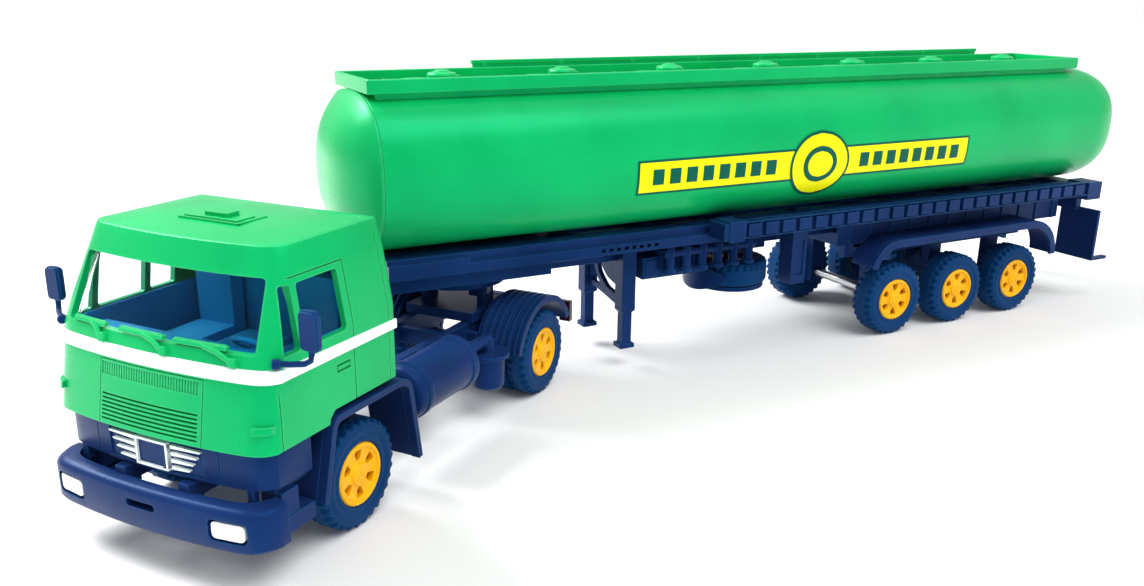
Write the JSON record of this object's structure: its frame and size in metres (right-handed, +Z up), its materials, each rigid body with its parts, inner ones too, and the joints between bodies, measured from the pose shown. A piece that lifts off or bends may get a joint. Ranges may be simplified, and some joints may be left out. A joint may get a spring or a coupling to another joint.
{
  "type": "toy tanker lorry",
  "caption": "Scale-model articulated tanker lorry: cab-over tractor with a fifth wheel and a long oval tank semitrailer, all on free-rolling wheelsets.",
  "frame": {"origin": "ground level, under the centre of the bounding box of the whole lorry in its stored, cornering pose", "axes": "+X forward along the trailer, +Y to the trailer's left, +Z up; the tractor is turned 36 degrees to the left about the kingpin"},
  "size_m": [0.1907, 0.0635, 0.0464],
  "materials": {
    "green_plastic": "satin, self-coloured moulding",
    "chassis_plastic": "satin, dark blue-black moulding",
    "tyre_black": "matt",
    "hub_yellow": "satin, orange-yellow moulding",
    "white_print": "satin, printed on the raised bead",
    "clear_glazing": "clear, polished moulding",
    "interior_plastic": "matt",
    "pin_steel": "drawn wire, bright",
    "lamp_red": "gloss",
    "lens_white": "gloss, printed lamp face",
    "banner_yellow": "satin print",
    "banner_green": "satin print"
  },
  "bodies": {
    "trailer": {"tank_barrel": "green_plastic", "tank_front_end": "green_plastic", "catwalk": "green_plastic", "catwalk_rail": "green_plastic", "filler_lids": "green_plastic", "trailer_frame": "chassis_plastic", "kingpin": "pin_steel", "bogie_frame": "chassis_plastic", "side_tray_left": "chassis_plastic", "side_tray_right": "chassis_plastic", "landing_legs": "chassis_plastic", "landing_brace": "chassis_plastic", "spare_wheel": "tyre_black", "spare_carrier": "chassis_plastic", "outlet_valves": "chassis_plastic", "valve_box": "chassis_plastic", "trailer_fender_left": "chassis_plastic", "trailer_fender_right": "chassis_plastic", "rear_bar": "chassis_plastic", "trailer_tail_lamps": "lamp_red", "mudflaps": "chassis_plastic"},
    "fifth_wheel": {"fifth_wheel_plate": "chassis_plastic"},
    "tractor": {"cab_shell": "green_plastic", "waist_stripe": "white_print", "cab_glazing": "clear_glazing", "cab_interior": "interior_plastic", "steering_wheel": "interior_plastic", "mirror_left": "chassis_plastic", "mirror_right": "chassis_plastic", "front_skirt": "chassis_plastic", "grille_trim": "white_print", "front_bumper": "chassis_plastic", "headlamp_lenses": "lens_white", "front_fender_left": "chassis_plastic", "front_fender_right": "chassis_plastic", "tractor_frame": "chassis_plastic", "air_reservoir": "chassis_plastic", "exhaust_cup": "chassis_plastic", "fuel_tank": "chassis_plastic", "rear_mudguards": "chassis_plastic", "tractor_tail_lamps": "lamp_red", "fifth_wheel_base": "chassis_plastic", "tilt_pin": "pin_steel"},
    "front_wheelset": {"front_axle": "pin_steel", "front_tyres": "tyre_black", "front_hubs": "hub_yellow"},
    "rear_wheelset": {"rear_axle": "pin_steel", "rear_tyres": "tyre_black", "rear_hubs": "hub_yellow"},
    "trailer_wheelset_1": {"trailer_axle_1": "pin_steel", "trailer_tyres_1": "tyre_black", "trailer_hubs_1": "hub_yellow"},
    "trailer_wheelset_2": {"trailer_axle_2": "pin_steel", "trailer_tyres_2": "tyre_black", "trailer_hubs_2": "hub_yellow"},
    "trailer_wheelset_3": {"trailer_axle_3": "pin_steel", "trailer_tyres_3": "tyre_black", "trailer_hubs_3": "hub_yellow"}
  },
  "joints": [
    {"name": "tractor_swing", "type": "hinge", "parent": "trailer", "child": "fifth_wheel", "pos_m": [0.04119, -0.01375, 0.017], "axis": [0, 0, 1], "range_deg": [-126, 54]},
    {"name": "plate_tilt", "type": "hinge", "parent": "fifth_wheel", "child": "tractor", "pos_m": [0.04119, -0.01375, 0.0148], "axis": [-0.5878, 0.809, 0], "range_deg": [-8, 8]},
    {"name": "front_wheels_roll", "type": "hinge", "parent": "tractor", "child": "front_wheelset", "pos_m": [0.07501, 0.01082, 0.0062], "axis": [-0.5878, 0.809, 0], "continuous": true},
    {"name": "rear_wheels_roll", "type": "hinge", "parent": "tractor", "child": "rear_wheelset", "pos_m": [0.04006, -0.01458, 0.0062], "axis": [-0.5878, 0.809, 0], "continuous": true},
    {"name": "trailer_wheels_1_roll", "type": "hinge", "parent": "trailer", "child": "trailer_wheelset_1", "pos_m": [-0.03381, -0.01375, 0.0062], "axis": [0, 1, 0], "continuous": true},
    {"name": "trailer_wheels_2_roll", "type": "hinge", "parent": "trailer", "child": "trailer_wheelset_2", "pos_m": [-0.04881, -0.01375, 0.0062], "axis": [0, 1, 0], "continuous": true},
    {"name": "trailer_wheels_3_roll", "type": "hinge", "parent": "trailer", "child": "trailer_wheelset_3", "pos_m": [-0.06381, -0.01375, 0.0062], "axis": [0, 1, 0], "continuous": true}
  ]
}
